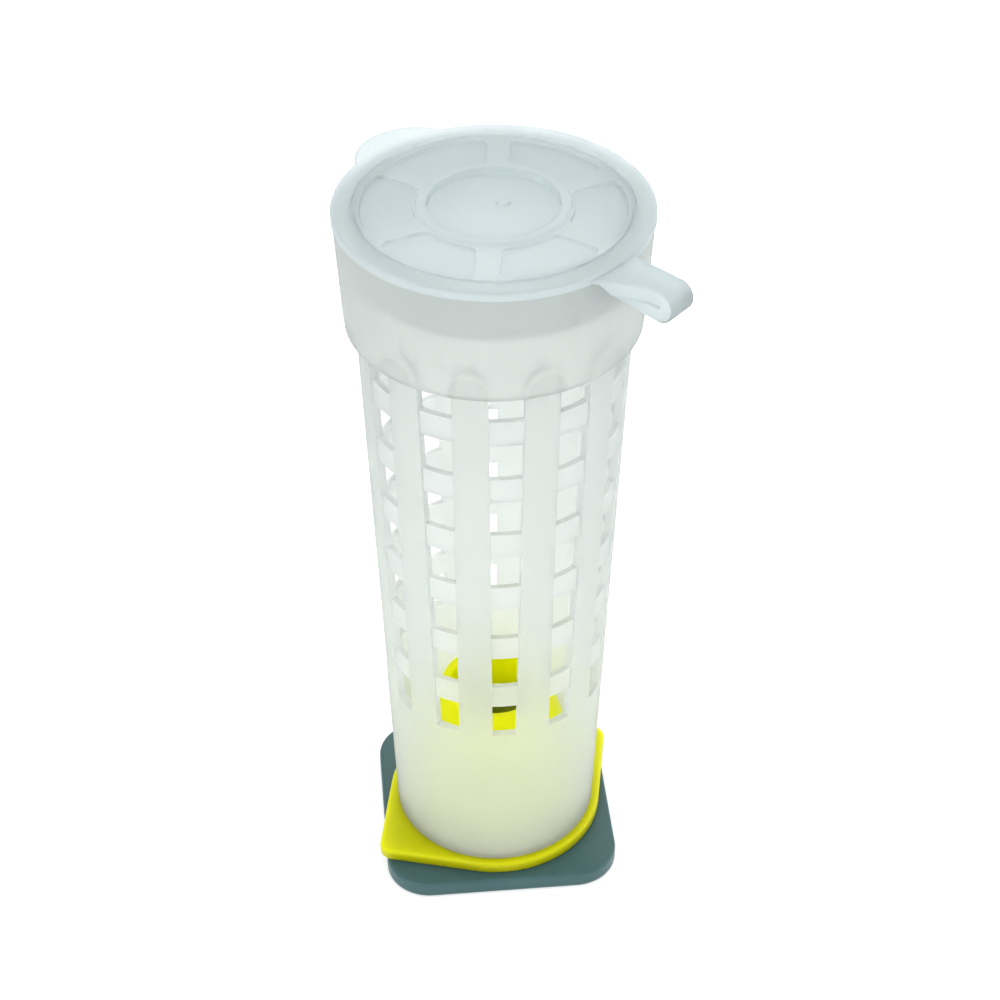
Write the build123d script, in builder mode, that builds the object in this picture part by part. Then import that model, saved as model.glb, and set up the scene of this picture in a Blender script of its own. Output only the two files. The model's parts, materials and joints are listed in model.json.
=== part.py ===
"""Roller queen cage standing over its cell cup holder, plugged into a square mounting block.

Frame: the origin is in the middle of the block's underside, +Z runs up the cage's axis and -Y is the
front. Lengths are in millimetres. An azimuth is in degrees from the front, growing towards +X.
"""
import os
from math import cos, radians, sin

from build123d import *

# --- Driving dimensions ---------------------------------------------------------------------------
push_gap = 0.05  # radial clearance of the push fits between holder, block and cup

# Mounting block
block_side = 23.5
block_corner = 4.4
block_height = 1.8
block_edge = 0.35
block_floor = 0.5

# Cell cup holder
flange_radius = 10.9
flange_height = 1.4
flange_edge = 0.35
ear_azimuth = -58.5
ear_reach = 12.9
ear_tip = 1.4
boss_rim_z = 18.3
boss_rim_radius = 5.3
boss_shoulder_z = 5.5
boss_shoulder_radius = 8.6
boss_bulge_z = 13.8
boss_bulge_radius = 6.8
boss_wall = 0.95
boss_edge = 0.2
socket_radius = 4.45
socket_floor_z = 5.6
socket_floor = 1.1
spigot_bore = 4.25
push_hole_radius = 1.2

# Cell cup
cup_rim_z = 12.3
cup_wall = 0.5
cup_foot_radius = 2.2
cup_side_z = 8.8

# Cage body
window_columns = 12
ring_count = 6
ring_pitch = 6.4
ring_height = 2.6
skirt_height = 18.1
mouth_z = 59.7  # top of the uppermost ring
tube_radius = 12.2  # outside the bars, at mouth_z
tube_taper = 0.037  # growth of the radius per millimetre of height
tube_wall = 0.8
ring_inset = 0.22
bar_width = 3.22
bar_top_z = 65.0

# Collar at the mouth
collar_foot_z = 62.6
collar_top_z = 73.2
collar_foot_radius = 13.2
collar_top_radius = 13.8
collar_edge = 0.35

# Lid
lid_radius = 13.9
lid_flange = 0.7
lid_edge = 0.2
lid_underside_z = 72.9
plug_foot_z = 68.5
plug_top_radius = 12.58
plug_foot_radius = 12.3
plug_wall = 1.0
panel_count = 6
panel_outer = 11.4
panel_inner = 6.9
panel_depth = 0.4
panel_corner = 0.8
panel_edge = 0.14
rib_width = 2.1
rib_azimuth = -8.0
groove_radius = 12.0
groove_width = 0.35
groove_depth = 0.25
hub_height = 0.35
recess_radius = 5.75
recess_floor_z = 73.4
hub_edge = 0.15
gate_offset = (0.9, 0.9)
gate_radius = 0.65
gate_height = 0.25
tab_azimuth = -145.0
tab_centre = 10.6
tab_radius = 5.35

# Tether strap, doubled back on itself
strap_azimuth = 45.0
strap_width = 3.0
strap_root = 13.4  # distance from the axis at which both legs start, inside the lid's flange
strap_fold = (18.55, 72.0)  # distance from the axis, and height
strap_fold_radius = 1.4
strap_slit = 0.24
upper_leg_root_z = 73.65
upper_leg_thin_end = 14.7  # where the underside reaches its full depth
upper_leg_depth = 1.1
lower_leg_root_z = (71.15, 71.85)
flare_root_width = 3.7  # from the strap's middle to its front edge, at the root
flare_end = 17.6
flare_arc_radius = 14.0

# --- Values that follow -----------------------------------------------------------------------------
skirt_foot_z = block_height + flange_height
skirt_top_z = skirt_foot_z + skirt_height
lid_top_z = collar_top_z + lid_flange
spigot_radius = boss_rim_radius
column_angle = 360 / window_columns


def tube_at(z):
    """Outer radius of the tapered tube at height z."""
    return tube_radius + tube_taper * (z - mouth_z)


def direction(azimuth):
    """Horizontal unit vector that points away from the axis at this azimuth."""
    return Vector(sin(radians(azimuth)), -cos(radians(azimuth)), 0)


def radial_plane(azimuth, distance=0):
    """Plane that faces outwards at this azimuth, its Y axis running up."""
    outward = direction(azimuth)
    across = Vector(0, 0, 1).cross(outward)
    return Plane(origin=outward * distance, x_dir=across, z_dir=outward)


def plan_plane(azimuth, z):
    """Level plane whose X axis points outwards at this azimuth."""
    return Plane(origin=(0, 0, z), x_dir=direction(azimuth), z_dir=(0, 0, 1))


os.makedirs("parts", exist_ok=True)

# --- Mounting block: a thin rounded square with a blind bore for the holder's spigot ----------------
with BuildPart() as mounting_block:
    with BuildSketch():
        RectangleRounded(block_side, block_side, block_corner)
    extrude(amount=block_height)
    fillet(mounting_block.faces().filter_by(Axis.Z).edges(), block_edge)
    with BuildSketch(Plane.XY.offset(block_floor)):
        Circle(spigot_radius + push_gap)
    extrude(amount=block_height, mode=Mode.SUBTRACT)

# --- Cell cup holder: spigot, lemon shaped flange with two ears, hollow bell shaped boss ------------
with BuildPart() as cup_holder:
    with BuildSketch(plan_plane(ear_azimuth, block_height)):
        Circle(flange_radius)
        with Locations((-ear_reach, 0), (ear_reach, 0)):
            Circle(ear_tip)
        make_hull()
    extrude(amount=flange_height)
    fillet(cup_holder.faces().filter_by(Axis.Z).edges(), flange_edge)
    # Boss, and the tube that runs down inside it to end in the spigot
    with BuildSketch(Plane.XZ):
        with BuildLine():
            Polyline(
                (0, skirt_foot_z),
                (0, boss_rim_z),
                (boss_rim_radius, boss_rim_z),
            )
            ThreePointArc(
                (boss_rim_radius, boss_rim_z),
                (boss_bulge_radius, boss_bulge_z),
                (boss_shoulder_radius, boss_shoulder_z),
            )
            Polyline(
                (boss_shoulder_radius, boss_shoulder_z),
                (tube_at(skirt_foot_z) - tube_wall - push_gap, skirt_foot_z),
                (0, skirt_foot_z),
            )
        make_face()
    revolve(axis=Axis.Z)
    with BuildSketch(Plane.XY.offset(block_floor + push_gap)):
        Circle(spigot_radius)
    extrude(amount=block_height - block_floor)
    # Ring shaped hollow between the boss's skin and the inner tube, open at the underside
    with BuildSketch(Plane.XZ):
        Polygon(
            (spigot_radius, block_height),
            (boss_shoulder_radius - boss_wall, block_height),
            (boss_shoulder_radius - boss_wall, boss_shoulder_z - boss_wall),
            (spigot_radius, boss_bulge_z - boss_wall),
            align=None,
        )
    revolve(axis=Axis.Z, mode=Mode.SUBTRACT)
    # Socket for the cup above, hollow spigot below, push-out hole between them
    with BuildSketch(Plane.XY.offset(socket_floor_z)):
        Circle(socket_radius)
    extrude(amount=boss_rim_z, mode=Mode.SUBTRACT)
    with BuildSketch():
        Circle(spigot_bore)
    extrude(amount=socket_floor_z - socket_floor, mode=Mode.SUBTRACT)
    with BuildSketch():
        Circle(push_hole_radius)
    extrude(amount=boss_rim_z, mode=Mode.SUBTRACT)
    fillet(cup_holder.faces().filter_by(Axis.Z).sort_by(Axis.Z)[-1].edges(), boss_edge)

# --- Cell cup: a thin cup with a rounded base and a flat foot ---------------------------------------
cup_radius = socket_radius - push_gap
with BuildPart() as cell_cup:
    with BuildSketch(Plane.XZ):
        with BuildLine():
            Line((0, socket_floor_z), (cup_foot_radius, socket_floor_z))
            RadiusArc(
                (cup_foot_radius, socket_floor_z),
                (cup_radius, cup_side_z),
                -(cup_side_z - socket_floor_z),
            )
            Polyline(
                (cup_radius, cup_side_z),
                (cup_radius, cup_rim_z),
                (cup_radius - cup_wall, cup_rim_z),
                (cup_radius - cup_wall, cup_side_z),
            )
            RadiusArc(
                (cup_radius - cup_wall, cup_side_z),
                (cup_foot_radius - cup_wall, socket_floor_z + cup_wall),
                cup_side_z - socket_floor_z - cup_wall,
            )
            Polyline(
                (cup_foot_radius - cup_wall, socket_floor_z + cup_wall),
                (0, socket_floor_z + cup_wall),
                (0, socket_floor_z),
            )
        make_face()
    revolve(axis=Axis.Z)

# --- Skirt: the plain tapered foot of the cage body -------------------------------------------------
with BuildPart() as cage_skirt:
    with BuildSketch(Plane.XZ):
        Polygon(
            (tube_at(skirt_foot_z), skirt_foot_z),
            (tube_at(skirt_top_z), skirt_top_z),
            (tube_at(skirt_top_z) - tube_wall, skirt_top_z),
            (tube_at(skirt_foot_z) - tube_wall, skirt_foot_z),
            align=None,
        )
    revolve(axis=Axis.Z)

# --- Tube: upright bars with rounded tops, tied by level rings set slightly back --------------------
with BuildPart() as bar_shell:
    with BuildSketch(Plane.XZ):
        Polygon(
            (tube_at(skirt_top_z), skirt_top_z),
            (tube_at(bar_top_z), bar_top_z),
            (tube_at(bar_top_z) - tube_wall, bar_top_z),
            (tube_at(skirt_top_z) - tube_wall, skirt_top_z),
            align=None,
        )
    revolve(axis=Axis.Z)

with BuildPart() as cage_tube:
    for column in range(window_columns):
        with BuildSketch(radial_plane((column + 0.5) * column_angle)):
            with BuildLine():
                Polyline(
                    (-bar_width / 2, bar_top_z - bar_width / 2),
                    (-bar_width / 2, skirt_top_z),
                    (bar_width / 2, skirt_top_z),
                    (bar_width / 2, bar_top_z - bar_width / 2),
                )
                ThreePointArc(
                    (bar_width / 2, bar_top_z - bar_width / 2),
                    (0, bar_top_z),
                    (-bar_width / 2, bar_top_z - bar_width / 2),
                )
            make_face()
        extrude(amount=tube_radius + 2 * tube_wall)
    add(bar_shell.part, mode=Mode.INTERSECT)
    for ring in range(1, ring_count + 1):
        ring_top = skirt_top_z + ring * ring_pitch
        ring_foot = ring_top - ring_height
        with BuildSketch(Plane.XZ):
            Polygon(
                (tube_at(ring_foot) - ring_inset, ring_foot),
                (tube_at(ring_top) - ring_inset, ring_top),
                (tube_at(ring_top) - tube_wall, ring_top),
                (tube_at(ring_foot) - tube_wall, ring_foot),
                align=None,
            )
        revolve(axis=Axis.Z)

# --- Collar: the wider mouth that carries the lid, fixed to the bars' tops --------------------------
with BuildPart() as cage_collar:
    with BuildSketch(Plane.XZ):
        Polygon(
            (collar_foot_radius, collar_foot_z),
            (collar_top_radius, collar_top_z),
            (tube_at(collar_top_z), collar_top_z),
            (tube_at(collar_foot_z), collar_foot_z),
            align=None,
        )
    revolve(axis=Axis.Z)
    fillet(cage_collar.edges().group_by(Axis.Z)[0].sort_by(SortBy.RADIUS)[-1], collar_edge)

# --- Lid: plug, flange with thumb tab, six sunk panels, raised hub with a sunk centre ---------------
with BuildPart() as lid:
    with BuildSketch(Plane.XY.offset(collar_top_z)):
        Circle(lid_radius)
        with Locations(plan_plane(tab_azimuth, 0).location):
            with Locations((tab_centre, 0)):
                Circle(tab_radius)
    extrude(amount=lid_flange)
    fillet(lid.faces().sort_by(Axis.Z)[-1].edges(), lid_edge)
    # Plug wall below the flange, and the web that closes it
    with BuildSketch(Plane.XZ):
        Polygon(
            (0, lid_underside_z),
            (plug_foot_radius - plug_wall, lid_underside_z),
            (plug_foot_radius - plug_wall, plug_foot_z),
            (plug_foot_radius, plug_foot_z),
            (plug_top_radius, collar_top_z),
            (0, collar_top_z),
            align=None,
        )
    revolve(axis=Axis.Z)
    with BuildSketch(Plane.XY.offset(lid_top_z)) as panels:
        Circle(panel_outer)
        Circle(panel_inner, mode=Mode.SUBTRACT)
        with Locations(plan_plane(rib_azimuth, 0).location):
            with PolarLocations(0, panel_count // 2, angular_range=180, endpoint=False):
                Rectangle(2 * lid_radius, rib_width, mode=Mode.SUBTRACT)
        fillet(panels.vertices(), panel_corner)
    extrude(amount=-panel_depth, mode=Mode.SUBTRACT)
    panel_floors = lid.faces().filter_by_position(
        Axis.Z, lid_top_z - panel_depth, lid_top_z - panel_depth
    )
    fillet(panel_floors.edges(), panel_edge)
    lid_face = lid.faces().filter_by(Axis.Z).sort_by(Axis.Z)[-1]
    fillet([edge for wire in lid_face.inner_wires() for edge in wire.edges()], panel_edge)
    with BuildSketch(Plane.XY.offset(lid_top_z)):
        Circle(groove_radius + groove_width / 2)
        Circle(groove_radius - groove_width / 2, mode=Mode.SUBTRACT)
    extrude(amount=-groove_depth, mode=Mode.SUBTRACT)
    # Hub with its sunk centre, and the gate mark on the centre's floor
    with BuildSketch(Plane.XY.offset(lid_top_z)):
        Circle(panel_inner - panel_edge)
    extrude(amount=hub_height, taper=30)
    with BuildSketch(Plane.XY.offset(recess_floor_z)):
        Circle(recess_radius)
    extrude(amount=lid_top_z, mode=Mode.SUBTRACT)
    fillet(lid.faces().filter_by(Axis.Z).sort_by(Axis.Z)[-1].edges(), hub_edge)
    with BuildSketch(Plane.XY.offset(recess_floor_z)):
        with Locations(gate_offset):
            Circle(gate_radius)
    extrude(amount=gate_height, taper=20)

# --- Tether strap: from the lid's flange out to a fold and back to the collar's side ----------------
fold_x, fold_z = strap_fold
strap_side = Plane(
    origin=(0, 0, 0),
    x_dir=direction(strap_azimuth),
    z_dir=direction(strap_azimuth).cross(Vector(0, 0, 1)),
)
with BuildPart() as tether_strap:
    with BuildSketch(strap_side):
        with BuildLine():
            Line((strap_root, upper_leg_root_z), (fold_x, fold_z + strap_fold_radius))
            ThreePointArc(
                (fold_x, fold_z + strap_fold_radius),
                (fold_x + strap_fold_radius, fold_z),
                (fold_x, fold_z - strap_fold_radius),
            )
            Polyline(
                (fold_x, fold_z - strap_fold_radius),
                (strap_root, lower_leg_root_z[0]),
                (strap_root, lower_leg_root_z[1]),
                (fold_x, fold_z - strap_slit / 2),
            )
            ThreePointArc(
                (fold_x, fold_z - strap_slit / 2),
                (fold_x + strap_slit / 2, fold_z),
                (fold_x, fold_z + strap_slit / 2),
            )
            Polyline(
                (fold_x, fold_z + strap_slit / 2),
                (upper_leg_thin_end, upper_leg_root_z - upper_leg_depth),
                (lid_radius, collar_top_z),
                (strap_root, collar_top_z),
                (strap_root, upper_leg_root_z),
            )
        make_face()
    extrude(amount=flare_root_width, both=True)
    # Plan outline: the upper leg flares towards the front, the lower leg stays straight
    with BuildSketch(plan_plane(strap_azimuth, 0)):
        with BuildLine():
            Polyline(
                (flare_end, -strap_width / 2),
                (2 * lid_radius, -strap_width / 2),
                (2 * lid_radius, strap_width / 2),
                (0, strap_width / 2),
                (0, -flare_root_width),
                (strap_root, -flare_root_width),
            )
            RadiusArc(
                (strap_root, -flare_root_width),
                (flare_end, -strap_width / 2),
                flare_arc_radius,
            )
        make_face()
    extrude(amount=2 * collar_top_z, mode=Mode.INTERSECT)
    with BuildSketch(plan_plane(strap_azimuth, 0)):
        with Locations((0, -strap_width / 2)):
            Rectangle(flare_end, flare_root_width, align=(Align.MIN, Align.MAX))
    extrude(amount=fold_z, mode=Mode.SUBTRACT)
    with BuildSketch(Plane.XZ):
        Polygon(
            (0, 0),
            (collar_foot_radius, collar_foot_z),
            (collar_top_radius, collar_top_z),
            (lid_radius, collar_top_z),
            (lid_radius, 2 * collar_top_z),
            (0, 2 * collar_top_z),
            align=None,
        )
    revolve(axis=Axis.Z, mode=Mode.SUBTRACT)

# --- Export, one file per piece ---------------------------------------------------------------------
pieces = {
    "mounting_block": mounting_block,
    "cup_holder": cup_holder,
    "cell_cup": cell_cup,
    "cage_skirt": cage_skirt,
    "cage_tube": cage_tube,
    "cage_collar": cage_collar,
    "tether_strap": tether_strap,
    "lid": lid,
}
for name, piece in pieces.items():
    piece.part.label = name
    export_step(piece.part, f"parts/{name}.step")
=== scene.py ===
"""Looks for the roller queen cage: a milky translucent slatted tube with a tethered lid, over its
yellow cell cup holder and grey blue block. Lengths are in metres unless a name ends in _MM."""

import json
from math import asin, cos, pi, radians, sin, sqrt

import bmesh
import bpy
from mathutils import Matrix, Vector


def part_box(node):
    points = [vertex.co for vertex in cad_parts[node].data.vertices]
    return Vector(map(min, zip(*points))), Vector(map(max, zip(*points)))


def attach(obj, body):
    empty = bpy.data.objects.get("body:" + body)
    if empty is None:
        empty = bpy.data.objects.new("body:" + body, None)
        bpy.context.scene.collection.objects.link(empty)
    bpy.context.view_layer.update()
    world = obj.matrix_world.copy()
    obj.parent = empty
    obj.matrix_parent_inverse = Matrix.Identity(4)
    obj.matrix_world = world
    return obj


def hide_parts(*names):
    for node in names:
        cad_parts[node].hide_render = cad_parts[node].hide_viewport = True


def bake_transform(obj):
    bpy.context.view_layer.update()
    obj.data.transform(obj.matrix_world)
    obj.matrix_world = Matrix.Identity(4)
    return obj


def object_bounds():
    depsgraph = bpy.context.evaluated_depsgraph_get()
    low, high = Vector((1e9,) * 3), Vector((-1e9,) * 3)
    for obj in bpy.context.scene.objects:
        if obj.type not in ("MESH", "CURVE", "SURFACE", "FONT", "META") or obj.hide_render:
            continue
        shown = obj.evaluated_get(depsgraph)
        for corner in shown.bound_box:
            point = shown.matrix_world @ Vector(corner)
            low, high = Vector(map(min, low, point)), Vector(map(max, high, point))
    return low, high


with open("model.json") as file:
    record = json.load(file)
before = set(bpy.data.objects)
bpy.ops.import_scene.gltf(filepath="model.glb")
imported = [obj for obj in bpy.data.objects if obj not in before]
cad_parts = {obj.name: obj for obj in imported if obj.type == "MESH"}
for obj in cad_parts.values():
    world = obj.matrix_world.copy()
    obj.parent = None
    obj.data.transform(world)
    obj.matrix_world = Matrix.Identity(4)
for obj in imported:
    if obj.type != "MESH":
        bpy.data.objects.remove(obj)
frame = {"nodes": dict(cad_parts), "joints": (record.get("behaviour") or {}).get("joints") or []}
cad_low, cad_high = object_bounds()

MM = 0.001

# --- Sizes in millimetres: the CAD model's, except where a comment says otherwise ------------------
COLUMNS = 12
RINGS = 6
RING_PITCH_MM = 6.4
RING_HEIGHT_MM = 2.6
RING_INSET_MM = 0.22
BAR_WIDTH_MM = 3.22
WALL_MM = 0.8
TAPER = 0.037
COLLAR_FOOT_RADIUS_MM = 13.2
COLLAR_EDGE_MM = 0.45  # a little rounder than the CAD model's
LID_SEAT_GAP_MM = 0.06  # how far short of the collar's rim the shell stops, clear of the lid
STRAP_AZIMUTH = 45.0
STRAP_WIDTH_MM = 3.0
STRAP_ROOT_MM = 13.4  # distance from the axis
STRAP_ROOT_CIRCLE_MM = 13.85  # radius of the circle on which the two roots end
STRAP_FOLD_RADIUS_MM = 1.4
STRAP_SLIT_MM = 0.1  # narrower than the CAD model's, so that no gap shows between the legs
STRAP_CORNER_MM = 0.16  # rounding that the CAD model leaves out
STRAP_CORNER_SHARE = 0.4  # the most of a leg's thickness that a rounded corner takes
UPPER_LEG_ROOT_Z_MM = 73.65
UPPER_LEG_DEPTH_MM = 1.4  # deeper than the CAD model's, for the same reason
UPPER_LEG_THIN_END_MM = 14.7
LOWER_LEG_ROOT_Z_MM = (71.15, 71.85)
FLARE_ROOT_MM = 3.7
FLARE_END_MM = 17.6
FLARE_CURVE = 1.2  # power of the flare's outline; 1 would be straight

# --- Mesh fineness ---------------------------------------------------------------------------------
BAR_STEPS = 4
WINDOW_STEPS = 4
LAYERS = 3  # of wall, between the shell's four surfaces
SKIRT_ROWS = 6
MOUTH_TURNS = (0, 22.5, 45, 67.5)  # degrees round the rounded foot of the collar
COLLAR_ROWS = 6
STRAP_LEG_STEPS = 12
STRAP_FOLD_STEPS = 24
STRAP_CORNER_STEPS = 3
EDGE_ROUNDING_MM = 0.1

# --- Slots of the modelled pieces, and what the plastics share -------------------------------------
PLAIN, INNER_LIT, THICK_SHADED = range(3)  # cage body: outside; inside, with painted light; and where bar and collar lie double, with painted shade
LEG, FOLD_SHADED = range(2)  # strap: legs, and the outside of the fold with painted shade
FADE_SPAN_MM = 80.0  # height that the painted height-shade ramps cover
CLOUD_SCALE = 90.0  # noise scales are in features per metre
GRAIN_SCALE = 5200.0
GLOSS_SCALE = 260.0
CLOUD_STRETCH = (1.0, 1.0, 0.45)
GRAIN_DEPTH_MM = 0.02
GRAIN_STRENGTH = 0.35
GLOSS_SPREAD = (-0.05, 0.06)
SUBSURFACE_RADIUS = (1.0, 1.0, 0.9)
SUBSURFACE_SCALE_MM = 5.0

# --- Camera and floor ------------------------------------------------------------------------------
FLOOR_GAP_MM = 0.02
CAMERA_AT_MM = (-14.57, -160.14, 170.8)
CAMERA_PITCH = 38.757
CAMERA_YAW = 5.39
CAMERA_LENS_MM = 78.96


def new_object(name, mesh):
    """Links a mesh to the scene as an object."""
    item = bpy.data.objects.new(name, mesh)
    bpy.context.scene.collection.objects.link(item)
    return item


def shade_smooth(mesh):
    """Smooth shading on every face."""
    for face in mesh.polygons:
        face.use_smooth = True


# --- Materials -------------------------------------------------------------------------------------
class Nodes:
    """A node material under construction: makes nodes and links them by socket name."""

    def __init__(self, name):
        self.material = bpy.data.materials.new(name)
        self.material.use_nodes = True
        self.tree = self.material.node_tree
        self.shader = self.tree.nodes["Principled BSDF"]

    def add(self, kind, **settings):
        node = self.tree.nodes.new(kind)
        for key, value in settings.items():
            setattr(node, key, value)
        return node

    def link(self, source, output, target, socket):
        self.tree.links.new(source.outputs[output], target.inputs[socket])

    def noise(self, scale, detail=2.0, stretch=(1.0, 1.0, 1.0)):
        """Noise over the part's own coordinates."""
        place = self.add("ShaderNodeTexCoord")
        mapping = self.add("ShaderNodeMapping")
        mapping.inputs["Scale"].default_value = stretch
        noise = self.add("ShaderNodeTexNoise")
        noise.inputs["Scale"].default_value = scale
        noise.inputs["Detail"].default_value = detail
        self.link(place, "Object", mapping, "Vector")
        self.link(mapping, "Vector", noise, "Vector")
        return noise

    def ramp(self, source, output, stops):
        """Colour ramp through (position, colour) stops."""
        ramp = self.add("ShaderNodeValToRGB")
        elements = ramp.color_ramp.elements
        while len(elements) < len(stops):
            elements.new(0.5)
        for element, (position, colour) in zip(elements, stops):
            element.position = position
            element.color = (*colour, 1.0)
        self.link(source, output, ramp, "Fac")
        return ramp

    def fade(self, tint, heights):
        """Painted shade by height: base colour from tint, scaled by the share given for each height in
        mm.
        """
        place = self.add("ShaderNodeTexCoord")
        split = self.add("ShaderNodeSeparateXYZ")
        level = self.add("ShaderNodeMapRange")
        level.inputs["From Max"].default_value = FADE_SPAN_MM * MM
        kept = [(height / FADE_SPAN_MM, (share, share, share)) for height, share in heights]
        self.link(place, "Object", split, "Vector")
        self.link(split, "Z", level, "Value")
        scaled = self.add("ShaderNodeVectorMath", operation="MULTIPLY")
        self.link(tint, "Color", scaled, 0)
        self.link(self.ramp(level, "Result", kept), "Color", scaled, 1)
        self.link(scaled, "Vector", self.shader, "Base Color")

    def bump(self, source, output, distance, strength):
        """Surface relief from a node's output."""
        bump = self.add("ShaderNodeBump")
        bump.inputs["Distance"].default_value = distance
        bump.inputs["Strength"].default_value = strength
        self.link(source, output, bump, "Height")
        self.link(bump, "Normal", self.shader, "Normal")


def moulded_plastic(
    name, light, dark, roughness, transmission=0.0, subsurface=0.0, gleam=0.5, ior=1.49, heights=None
):
    """Moulded plastic: faint flow clouds in the colour, a fine satin grain, slightly uneven gloss.

    heights lists (height in mm, share of the colour kept there) for painted shade that changes with
    height."""
    nodes = Nodes(name)
    clouds = nodes.noise(CLOUD_SCALE, detail=3.0, stretch=CLOUD_STRETCH)
    tint = nodes.ramp(clouds, "Fac", [(0.3, dark), (0.7, light)])
    if heights:
        nodes.fade(tint, heights)
    else:
        nodes.link(tint, "Color", nodes.shader, "Base Color")
    grain = nodes.noise(GRAIN_SCALE)
    nodes.bump(grain, "Fac", GRAIN_DEPTH_MM * MM, GRAIN_STRENGTH)
    uneven = nodes.noise(GLOSS_SCALE)
    gloss = nodes.add("ShaderNodeMapRange")
    gloss.inputs["To Min"].default_value = roughness + GLOSS_SPREAD[0]
    gloss.inputs["To Max"].default_value = roughness + GLOSS_SPREAD[1]
    nodes.link(uneven, "Fac", gloss, "Value")
    nodes.link(gloss, "Result", nodes.shader, "Roughness")
    nodes.shader.inputs["IOR"].default_value = ior
    nodes.shader.inputs["Specular IOR Level"].default_value = gleam
    nodes.shader.inputs["Transmission Weight"].default_value = transmission
    nodes.shader.inputs["Subsurface Weight"].default_value = subsurface
    nodes.shader.inputs["Subsurface Radius"].default_value = SUBSURFACE_RADIUS
    nodes.shader.inputs["Subsurface Scale"].default_value = SUBSURFACE_SCALE_MM * MM
    return nodes.material


# Painted shade by height: the cage's colour greys towards the top.
CAGE_HEIGHT_SHADE = [(0, 1.0), (20, 0.985), (32, 0.95), (60, 0.875), (75, 0.84)]


def cage_plastic(name, light, dark):
    """One of the cage body's three copies of its milky plastic (plain, with painted light, with painted
    shade), each greyed towards the top by painted shade.
    """
    return moulded_plastic(
        name, light, dark, roughness=0.7, transmission=0.7, ior=1.25, heights=CAGE_HEIGHT_SHADE
    )


def strap_plastic(name, heights=None):
    """The strap's plastic, a little bluer than the cage's."""
    light = (0.715, 0.785, 0.795)
    dark = (0.695, 0.765, 0.775)
    return moulded_plastic(
        name, light, dark, roughness=0.6, transmission=0.6, ior=1.35, heights=heights
    )


natural = cage_plastic("natural_plastic", (0.785, 0.825, 0.805), (0.765, 0.805, 0.785))
# Painted light: a paler copy of the plastic for the cage's inside faces and window edges.
painted_light_natural = cage_plastic("inner_natural_plastic", (0.875, 0.9, 0.89), (0.855, 0.88, 0.87))
# Painted shade: a darker copy of the plastic where bar and collar lie double.
painted_shade_natural = cage_plastic("thick_natural_plastic", (0.72, 0.765, 0.745), (0.7, 0.745, 0.725))
lid_natural = moulded_plastic(
    "lid_plastic",
    light=(0.76, 0.82, 0.83),
    dark=(0.74, 0.8, 0.81),
    roughness=0.65,
    transmission=0.7,
    ior=1.28,
)
strap_natural = strap_plastic("strap_plastic")
# Painted shade: the outside of the strap's fold darkens downwards, towards its underside.
strap_fold_painted_shade = strap_plastic("strap_end_plastic", heights=[(71.2, 0.55), (72.6, 0.68), (73.3, 1.0)])
# Painted shade: the holder darkens low down, its flange's side to little more than a third and the
# flange's top to about half, with full colour from 8 mm up.
yellow = moulded_plastic(
    "yellow_plastic",
    light=(1.0, 1.0, 0.0),
    dark=(0.95, 0.96, 0.0),
    roughness=0.4,
    subsurface=0.9,
    gleam=0.15,
    heights=[(0, 0.36), (2.7, 0.38), (3.2, 0.57), (4, 0.57), (8, 1.0)],
)
olive = moulded_plastic(
    "olive_plastic",
    light=(0.5, 0.55, 0.07),
    dark=(0.44, 0.48, 0.055),
    roughness=0.3,
)
grey_blue = moulded_plastic(
    "grey_blue_plastic",
    light=(0.046, 0.108, 0.112),
    dark=(0.038, 0.092, 0.096),
    roughness=0.38,
    gleam=0.3,
)


# --- Cage shell: skirt, bars, rings and collar as one seamless wall --------------------------------
skirt_low, skirt_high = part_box("cage_skirt")
tube_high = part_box("cage_tube")[1]
collar_low, collar_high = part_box("cage_collar")


def tube_radius(z):
    """Outer radius of the bars at height z."""
    return skirt_high.x + TAPER * (z - skirt_high.z)


def collar_radius(z):
    """Outer radius of the collar at height z, its foot edge rounded."""
    foot = COLLAR_FOOT_RADIUS_MM * MM
    share = (z - collar_low.z) / (collar_high.z - collar_low.z)
    straight = foot + (collar_high.x - foot) * share
    edge = COLLAR_EDGE_MM * MM
    short = min(edge, max(0.0, collar_low.z + edge - z))
    return straight - edge + sqrt(edge * edge - short * short)


def surface_radius(surface, z):
    """Radius of one of the shell's four surfaces: 0 inner wall, 1 ring, 2 bar, 3 collar."""
    if surface == 0:
        return tube_radius(z) - WALL_MM * MM
    if surface == 1:
        return tube_radius(z) - RING_INSET_MM * MM
    if surface == 2:
        return tube_radius(z)
    return collar_radius(z)


def shell_levels():
    """The shell's rows from the foot up, as (height of the row's lower line, kind of row)."""
    levels = []
    for row in range(SKIRT_ROWS):
        levels.append((skirt_low.z + (skirt_high.z - skirt_low.z) * row / SKIRT_ROWS, "skirt"))
    for ring in range(RINGS):
        gap_foot = skirt_high.z + ring * RING_PITCH_MM * MM
        levels.append((gap_foot, "gap"))
        levels.append((gap_foot + (RING_PITCH_MM - RING_HEIGHT_MM) * MM, "ring"))
    levels.append((skirt_high.z + RINGS * RING_PITCH_MM * MM, "gap"))
    edge = COLLAR_EDGE_MM * MM
    for turn in MOUTH_TURNS:
        levels.append((collar_low.z + edge * (1 - cos(radians(turn))), "mouth"))
    arch = BAR_WIDTH_MM / 2 * MM
    levels.append((tube_high.z - arch, "arch"))
    levels.append((tube_high.z - arch / 2, "arch"))
    mouth = collar_high.z - LID_SEAT_GAP_MM * MM
    for row in range(COLLAR_ROWS + 1):
        kind = "collar" if row < COLLAR_ROWS else "end"
        levels.append((tube_high.z + (mouth - tube_high.z) * row / COLLAR_ROWS, kind))
    return levels


SOLID_LAYERS = {
    # row kind: (layers that are solid at a bar, and between bars); layer n fills surfaces n to n + 1
    "skirt": ((0, 1), (0, 1)),
    "gap": ((0, 1), ()),
    "ring": ((0, 1), (0,)),
    "mouth": ((0, 1, 2), (2,)),
    "arch": ((0, 1, 2), (2,)),
    "collar": ((2,), (2,)),
    "end": ((), ()),
}


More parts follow.
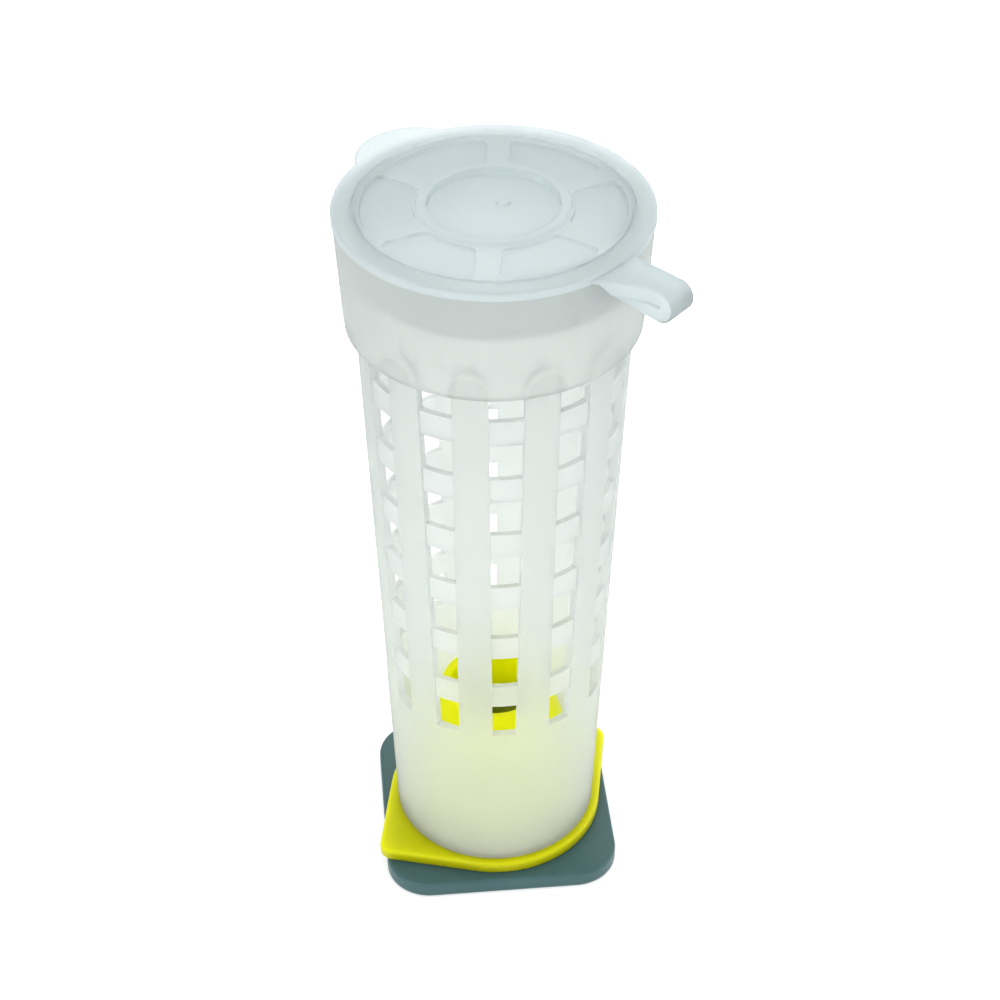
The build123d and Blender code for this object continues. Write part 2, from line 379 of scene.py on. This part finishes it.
def shell_point(levels, line, row, surface):
    """Place of the shell's grid point.

    The square top of each bar's grid is mapped onto a half disc, which makes it a round arch."""
    z = levels[row][0]
    column, step = divmod(line, BAR_STEPS + WINDOW_STEPS)
    on_bar = step <= BAR_STEPS
    across = 2 * step / BAR_STEPS - 1 if on_bar else 1.0
    arch = BAR_WIDTH_MM / 2 * MM
    spring = tube_high.z - arch
    rise = min(1.0, max(0.0, (z - spring) / arch))
    half_angle = asin(arch * sqrt(1 - rise * rise / 2) / tube_radius(z))
    if spring < z <= tube_high.z:
        z = spring + rise * arch * sqrt(1 - across * across / 2)
    pitch = 2 * pi / COLUMNS
    middle = (column + 0.5) * pitch
    if on_bar:
        azimuth = middle + half_angle * across
    else:
        share = (step - BAR_STEPS) / WINDOW_STEPS
        azimuth = middle + half_angle + (pitch - 2 * half_angle) * share
    radius = surface_radius(surface, z)
    return Vector((radius * sin(azimuth), -radius * cos(azimuth), z))


def make_shell():
    """Skins the solid cells of the shell's grid of lines round, rows up and layers through."""
    levels = shell_levels()
    lines = COLUMNS * (BAR_STEPS + WINDOW_STEPS)

    def at_bar(line):
        return line % (BAR_STEPS + WINDOW_STEPS) < BAR_STEPS

    def solid(line, row, layer):
        if not 0 <= row < len(levels) - 1:
            return False
        at_bars, between = SOLID_LAYERS[levels[row][1]]
        return layer in (at_bars if at_bar(line) else between)

    def slots(line, row):
        """Material slots of a cell's outer face and of its sides: painted light on the rings between bars
        and on the bars' sides at the windows, painted shade on the bars where they lie double with the
        collar.
        """
        kind = levels[row][1]
        if kind == "ring" and not at_bar(line):
            return INNER_LIT, INNER_LIT
        if kind in ("mouth", "arch") and at_bar(line):
            return THICK_SHADED, THICK_SHADED
        return PLAIN, (INNER_LIT if kind == "gap" else PLAIN)

    mesh = bmesh.new()
    points = {}

    def vertex(line, row, surface):
        key = (line % lines, row, surface)
        if key not in points:
            points[key] = mesh.verts.new(shell_point(levels, *key))
        return points[key]

    def face(corners, slot):
        made = mesh.faces.new([vertex(*corner) for corner in corners])
        made.material_index = slot

    def skin_cell(line, row, layer):
        """Faces of one solid cell towards its empty neighbours."""
        near, far = line, line + 1
        low, high = row, row + 1
        inner, outer = layer, layer + 1
        outer_slot, side_slot = slots(line, row)
        if not solid(line, row, layer - 1):
            corners = [(near, low, inner), (near, high, inner), (far, high, inner), (far, low, inner)]
            face(corners, INNER_LIT)
        if not solid(line, row, layer + 1):
            corners = [(near, low, outer), (far, low, outer), (far, high, outer), (near, high, outer)]
            face(corners, outer_slot)
        if not solid((line - 1) % lines, row, layer):
            corners = [(near, low, inner), (near, low, outer), (near, high, outer), (near, high, inner)]
            face(corners, side_slot)
        if not solid((line + 1) % lines, row, layer):
            corners = [(far, low, inner), (far, high, inner), (far, high, outer), (far, low, outer)]
            face(corners, side_slot)
        if not solid(line, row - 1, layer):
            corners = [(near, low, inner), (far, low, inner), (far, low, outer), (near, low, outer)]
            face(corners, outer_slot)
        if not solid(line, row + 1, layer):
            corners = [(near, high, inner), (near, high, outer), (far, high, outer), (far, high, inner)]
            face(corners, INNER_LIT)

    for line in range(lines):
        for row in range(len(levels) - 1):
            for layer in range(LAYERS):
                if solid(line, row, layer):
                    skin_cell(line, row, layer)
    data = bpy.data.meshes.new("cage_body")
    mesh.normal_update()
    mesh.to_mesh(data)
    mesh.free()
    shade_smooth(data)
    body = new_object("cage_body", data)
    rounding = body.modifiers.new("rounded_edges", "BEVEL")
    rounding.width = EDGE_ROUNDING_MM * MM
    rounding.segments = 2
    rounding.limit_method = "ANGLE"
    rounding.angle_limit = radians(35)
    rounding.harden_normals = True
    return body


cage_body = make_shell()
cage_body.data.materials.append(natural)
cage_body.data.materials.append(painted_light_natural)
cage_body.data.materials.append(painted_shade_natural)
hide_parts("cage_skirt", "cage_tube", "cage_collar")
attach(cage_body, "cage")


# --- Tether strap, modelled doubled back on itself as it lies with the lid shut; the real one unfolds as the lid swings ---
hinge = next(joint for joint in frame["joints"] if joint["name"] == "lid_hinge")
fold_out, fold_up = Vector(hinge["pos_m"]).xy.length / MM, hinge["pos_m"][2] / MM


def broken_line(distance, stops):
    """Height at this distance of the line drawn through (distance, height) stops."""
    height = stops[0][1]
    for (near, low), (far, high) in zip(stops, stops[1:]):
        if distance > near:
            height = low + (high - low) * min(1.0, (distance - near) / (far - near))
    return height


def strap_sections():
    """Sections from the lid round the fold to the collar, in mm: outer and inner point of the side
    view, reach to the front, and how far the section has come towards the root, from 0 to 1."""
    slit = STRAP_SLIT_MM / 2
    seat = collar_high.z / MM
    flange_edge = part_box("lid")[1].x / MM
    top_line = [(STRAP_ROOT_MM, UPPER_LEG_ROOT_Z_MM), (fold_out, fold_up + STRAP_FOLD_RADIUS_MM)]
    underside = [
        (flange_edge, seat),
        (UPPER_LEG_THIN_END_MM, UPPER_LEG_ROOT_Z_MM - UPPER_LEG_DEPTH_MM),
        (fold_out, fold_up + slit),
    ]
    lower_face = [(STRAP_ROOT_MM, LOWER_LEG_ROOT_Z_MM[0]), (fold_out, fold_up - STRAP_FOLD_RADIUS_MM)]
    upper_face = [(STRAP_ROOT_MM, LOWER_LEG_ROOT_Z_MM[1]), (fold_out, fold_up - slit)]
    half_width = STRAP_WIDTH_MM / 2
    sections = []
    for step in range(STRAP_LEG_STEPS):
        out = STRAP_ROOT_MM + (fold_out - STRAP_ROOT_MM) * step / STRAP_LEG_STEPS
        flare = max(0.0, (FLARE_END_MM - out) / (FLARE_END_MM - STRAP_ROOT_MM)) ** FLARE_CURVE
        sections.append((
            Vector((out, broken_line(out, top_line))),
            Vector((out, broken_line(out, underside))),
            half_width + (FLARE_ROOT_MM - half_width) * flare,
            1 - step / STRAP_LEG_STEPS,
        ))
    for step in range(STRAP_FOLD_STEPS + 1):
        angle = pi / 2 - pi * step / STRAP_FOLD_STEPS
        ray = Vector((cos(angle), sin(angle)))
        middle = Vector((fold_out, fold_up))
        sections.append((middle + ray * STRAP_FOLD_RADIUS_MM, middle + ray * slit, half_width, 0.0))
    for step in range(1, STRAP_LEG_STEPS + 1):
        out = fold_out + (STRAP_ROOT_MM - fold_out) * step / STRAP_LEG_STEPS
        sections.append((
            Vector((out, broken_line(out, lower_face))),
            Vector((out, broken_line(out, upper_face))),
            half_width,
            step / STRAP_LEG_STEPS,
        ))
    return sections


def strap_ring(outer, inner, front, back):
    """Rounded rectangle between outer and inner, from front to back, as (out, up, across) in mm."""
    thickness = (outer - inner).length
    through = (outer - inner).normalized()
    corner = min(STRAP_CORNER_MM, STRAP_CORNER_SHARE * thickness)
    quadrants = [(back, thickness), (-front, thickness), (-front, 0), (back, 0)]
    ring = []
    for quadrant, (side, face) in enumerate(quadrants):
        centre_across = side - corner if side > 0 else side + corner
        centre_through = face - corner if face > 0 else corner
        for step in range(STRAP_CORNER_STEPS + 1):
            angle = radians(90 * quadrant + 90 * step / STRAP_CORNER_STEPS)
            place = inner + through * (centre_through + corner * sin(angle))
            ring.append((place.x, place.y, centre_across + corner * cos(angle)))
    return ring


def make_strap():
    """Skins the strap's sections; each root is drawn back to meet the round flange or collar."""
    outward = Vector((sin(radians(STRAP_AZIMUTH)), -cos(radians(STRAP_AZIMUTH)), 0))
    upward = Vector((0, 0, 1))
    sideways = upward.cross(outward)
    mesh = bmesh.new()
    rings = []
    for outer, inner, front, root_share in strap_sections():
        ring = []
        for out, up, across in strap_ring(outer, inner, front, STRAP_WIDTH_MM / 2):
            out += root_share * (sqrt(STRAP_ROOT_CIRCLE_MM ** 2 - across ** 2) - STRAP_ROOT_MM)
            place = outward * out + upward * up + sideways * across
            ring.append(mesh.verts.new(place * MM))
        rings.append(ring)
    count = len(rings[0])
    fold = range(STRAP_LEG_STEPS, STRAP_LEG_STEPS + STRAP_FOLD_STEPS)
    for index, (first, second) in enumerate(zip(rings, rings[1:])):
        for corner in range(count):
            following = (corner + 1) % count
            made = mesh.faces.new((first[corner], first[following], second[following], second[corner]))
            outside = following < count // 2
            # The outside of the fold takes the strap's painted-shade copy.
            made.material_index = FOLD_SHADED if index in fold and outside else LEG
    mesh.faces.new(rings[0])
    mesh.faces.new(reversed(rings[-1]))
    bmesh.ops.recalc_face_normals(mesh, faces=mesh.faces)
    data = bpy.data.meshes.new("tether")
    mesh.to_mesh(data)
    mesh.free()
    shade_smooth(data)
    data.set_sharp_from_angle(angle=radians(50))
    return new_object("tether", data)


tether = make_strap()
tether.data.materials.append(strap_natural)
tether.data.materials.append(strap_fold_painted_shade)
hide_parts("tether_strap")
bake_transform(tether)

# --- CAD pieces that keep their shape --------------------------------------------------------------
for node, material in {
    "lid": lid_natural,
    "cup_holder": yellow,
    "cell_cup": olive,
    "mounting_block": grey_blue,
}.items():
    piece = frame["nodes"][node]
    piece.data.materials.clear()
    piece.data.materials.append(material)

# --- Floor, light and camera -----------------------------------------------------------------------
floor_mesh = bmesh.new()
bmesh.ops.create_grid(floor_mesh, x_segments=8, y_segments=8, size=1.5)
floor_data = bpy.data.meshes.new("floor")
floor_mesh.to_mesh(floor_data)
floor_mesh.free()
floor = new_object("floor", floor_data)
floor.location.z = cad_low.z - FLOOR_GAP_MM * MM
floor_nodes = Nodes("floor_paper")
floor_nodes.shader.inputs["Base Color"].default_value = (0.93, 0.93, 0.93, 1)
floor_nodes.shader.inputs["Roughness"].default_value = 0.9
floor_nodes.shader.inputs["Specular IOR Level"].default_value = 0.1
floor_nodes.shader.inputs["Emission Color"].default_value = (1, 1, 1, 1)
floor_nodes.shader.inputs["Emission Strength"].default_value = 0.25
floor.data.materials.append(floor_nodes.material)

bpy.context.scene.view_settings.view_transform = "Standard"
world = bpy.data.worlds.new("studio")
bpy.context.scene.world = world
world.use_nodes = True
world.node_tree.nodes["Background"].inputs["Color"].default_value = (1, 1, 1, 1)
world.node_tree.nodes["Background"].inputs["Strength"].default_value = 0.94


def add_soft_box(name, place, target, size, watts):
    """Square area light at place, facing target."""
    data = bpy.data.lights.new(name, "AREA")
    data.size = size
    data.energy = watts
    item = bpy.data.objects.new(name, data)
    bpy.context.scene.collection.objects.link(item)
    item.location = place
    item.rotation_mode = "QUATERNION"
    item.rotation_quaternion = (Vector(target) - Vector(place)).to_track_quat("-Z", "Y")


middle = (0, 0, cad_high.z / 2)
add_soft_box("key", (0.15, 0.45, 0.45), middle, size=0.5, watts=0.85)
add_soft_box("front", (-0.32, -0.4, 0.32), (0, 0, 0.02), size=0.5, watts=1.5)
add_soft_box("side", (0.5, -0.05, 0.15), middle, size=0.4, watts=0.9)

camera_data = bpy.data.cameras.new("camera")
camera_data.lens = CAMERA_LENS_MM
camera_data.sensor_width = 36.0
camera_data.clip_start = 0.005
camera_data.clip_end = 20
camera = bpy.data.objects.new("camera", camera_data)
bpy.context.scene.collection.objects.link(camera)
camera.location = Vector(CAMERA_AT_MM) * MM
camera.rotation_euler = (radians(90 - CAMERA_PITCH), 0, radians(-CAMERA_YAW))
bpy.context.scene.camera = camera
